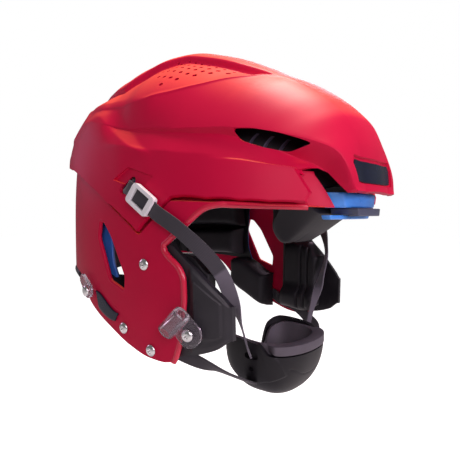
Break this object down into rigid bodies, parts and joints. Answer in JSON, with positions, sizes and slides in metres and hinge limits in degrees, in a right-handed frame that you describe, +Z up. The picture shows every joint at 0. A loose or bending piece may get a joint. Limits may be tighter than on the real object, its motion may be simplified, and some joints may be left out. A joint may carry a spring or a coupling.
{
  "type": "contact-sport helmet",
  "caption": "Contact-sport helmet: a hooded upper shell over a lower shell with open windows, inner cap and pads, jaw guards, mask clips and a chin cup on webbing straps.",
  "frame": {"origin": "middle of the wearer's head, on the middle plane, level with the cheek bones", "axes": "+X leaves the face opening, +Y is the wearer's left, +Z is up"},
  "size_m": [0.3008, 0.2396, 0.2983],
  "materials": {
    "shell_red": "satin paint",
    "cap_blue": "satin moulding",
    "pad_black": "matte moulded skin",
    "hard_black": "matte",
    "webbing_grey": "flat woven webbing",
    "buckle_white": "satin",
    "clear_plastic": "clear",
    "chrome": "polished",
    "plate_dark": "gloss",
    "liner_grey": "soft matte"
  },
  "bodies": {
    "helmet": {"upper_shell": "shell_red", "lower_shell": "shell_red", "inner_cap": "cap_blue", "standoff_right_1": "cap_blue", "standoff_right_2": "cap_blue", "standoff_right_3": "cap_blue", "standoff_left_1": "cap_blue", "standoff_left_2": "cap_blue", "standoff_left_3": "cap_blue", "rear_pad": "pad_black", "crown_pad": "pad_black", "front_pad": "pad_black", "upper_side_pad_right": "pad_black", "upper_side_pad_left": "pad_black", "lower_side_pad_right": "pad_black", "lower_side_pad_left": "pad_black", "crown_side_pad_right": "pad_black", "crown_side_pad_left": "pad_black", "nape_pad_right": "pad_black", "nape_pad_left": "pad_black", "jaw_pad_right": "pad_black", "jaw_pad_left": "pad_black", "jaw_guard_right": "hard_black", "jaw_guard_left": "hard_black", "shell_screw_right_1": "chrome", "shell_screw_right_2": "chrome", "shell_screw_right_3": "chrome", "shell_screw_left_1": "chrome", "shell_screw_left_2": "chrome", "shell_screw_left_3": "chrome", "clip_screw_right": "chrome", "clip_screw_left": "chrome", "side_plate_right": "plate_dark", "side_plate_left": "plate_dark", "strap_post_right": "chrome", "strap_post_left": "chrome", "nape_bumper": "hard_black", "front_bumper": "cap_blue", "mask_bracket": "plate_dark", "front_shelf": "cap_blue", "badge_plate": "plate_dark", "vent_grille_right": "hard_black", "vent_grille_left": "hard_black", "upper_strap_right": "webbing_grey", "upper_strap_left": "webbing_grey", "lower_strap_right": "webbing_grey", "lower_strap_left": "webbing_grey"},
    "chin_cup": {"chin_cup": "hard_black", "chin_cup_liner": "liner_grey"},
    "buckle_right": {"buckle_right": "buckle_white"},
    "buckle_left": {"buckle_left": "buckle_white"},
    "mask_clip_right": {"mask_clip_right": "clear_plastic"},
    "mask_clip_left": {"mask_clip_left": "clear_plastic"},
    "strap_clip_right": {"strap_clip_right": "clear_plastic"},
    "strap_clip_left": {"strap_clip_left": "clear_plastic"}
  },
  "joints": [
    {"name": "chin_cup_tilt", "type": "hinge", "parent": "helmet", "child": "chin_cup", "pos_m": [0.062, 0, -0.0968], "axis": [0, 1, 0], "range_deg": [-12, 12], "deforming": ["upper_strap_right", "upper_strap_left", "lower_strap_right", "lower_strap_left"]},
    {"name": "buckle_right_slide", "type": "slide", "parent": "helmet", "child": "buckle_right", "axis": [0.8281, 0.0434, -0.5589], "range_m": [-0.002, 0.004]},
    {"name": "buckle_left_slide", "type": "slide", "parent": "helmet", "child": "buckle_left", "axis": [0.8281, -0.0434, -0.5589], "range_m": [-0.002, 0.004]},
    {"name": "mask_clip_right_swivel", "type": "hinge", "parent": "helmet", "child": "mask_clip_right", "pos_m": [0.0505, -0.10283, -0.069], "axis": [0.237, -0.9707, -0.0395], "range_deg": [-20, 20]},
    {"name": "mask_clip_left_swivel", "type": "hinge", "parent": "helmet", "child": "mask_clip_left", "pos_m": [0.0505, 0.10283, -0.069], "axis": [0.237, 0.9707, -0.0395], "range_deg": [-20, 20]},
    {"name": "strap_clip_right_swivel", "type": "hinge", "parent": "helmet", "child": "strap_clip_right", "pos_m": [-0.06, -0.10437, -0.049], "axis": [-0.2, -0.9795, -0.0246], "range_deg": [-15, 15]},
    {"name": "strap_clip_left_swivel", "type": "hinge", "parent": "helmet", "child": "strap_clip_left", "pos_m": [-0.06, 0.10437, -0.049], "axis": [-0.2, 0.9795, -0.0246], "range_deg": [-15, 15]}
  ]
}
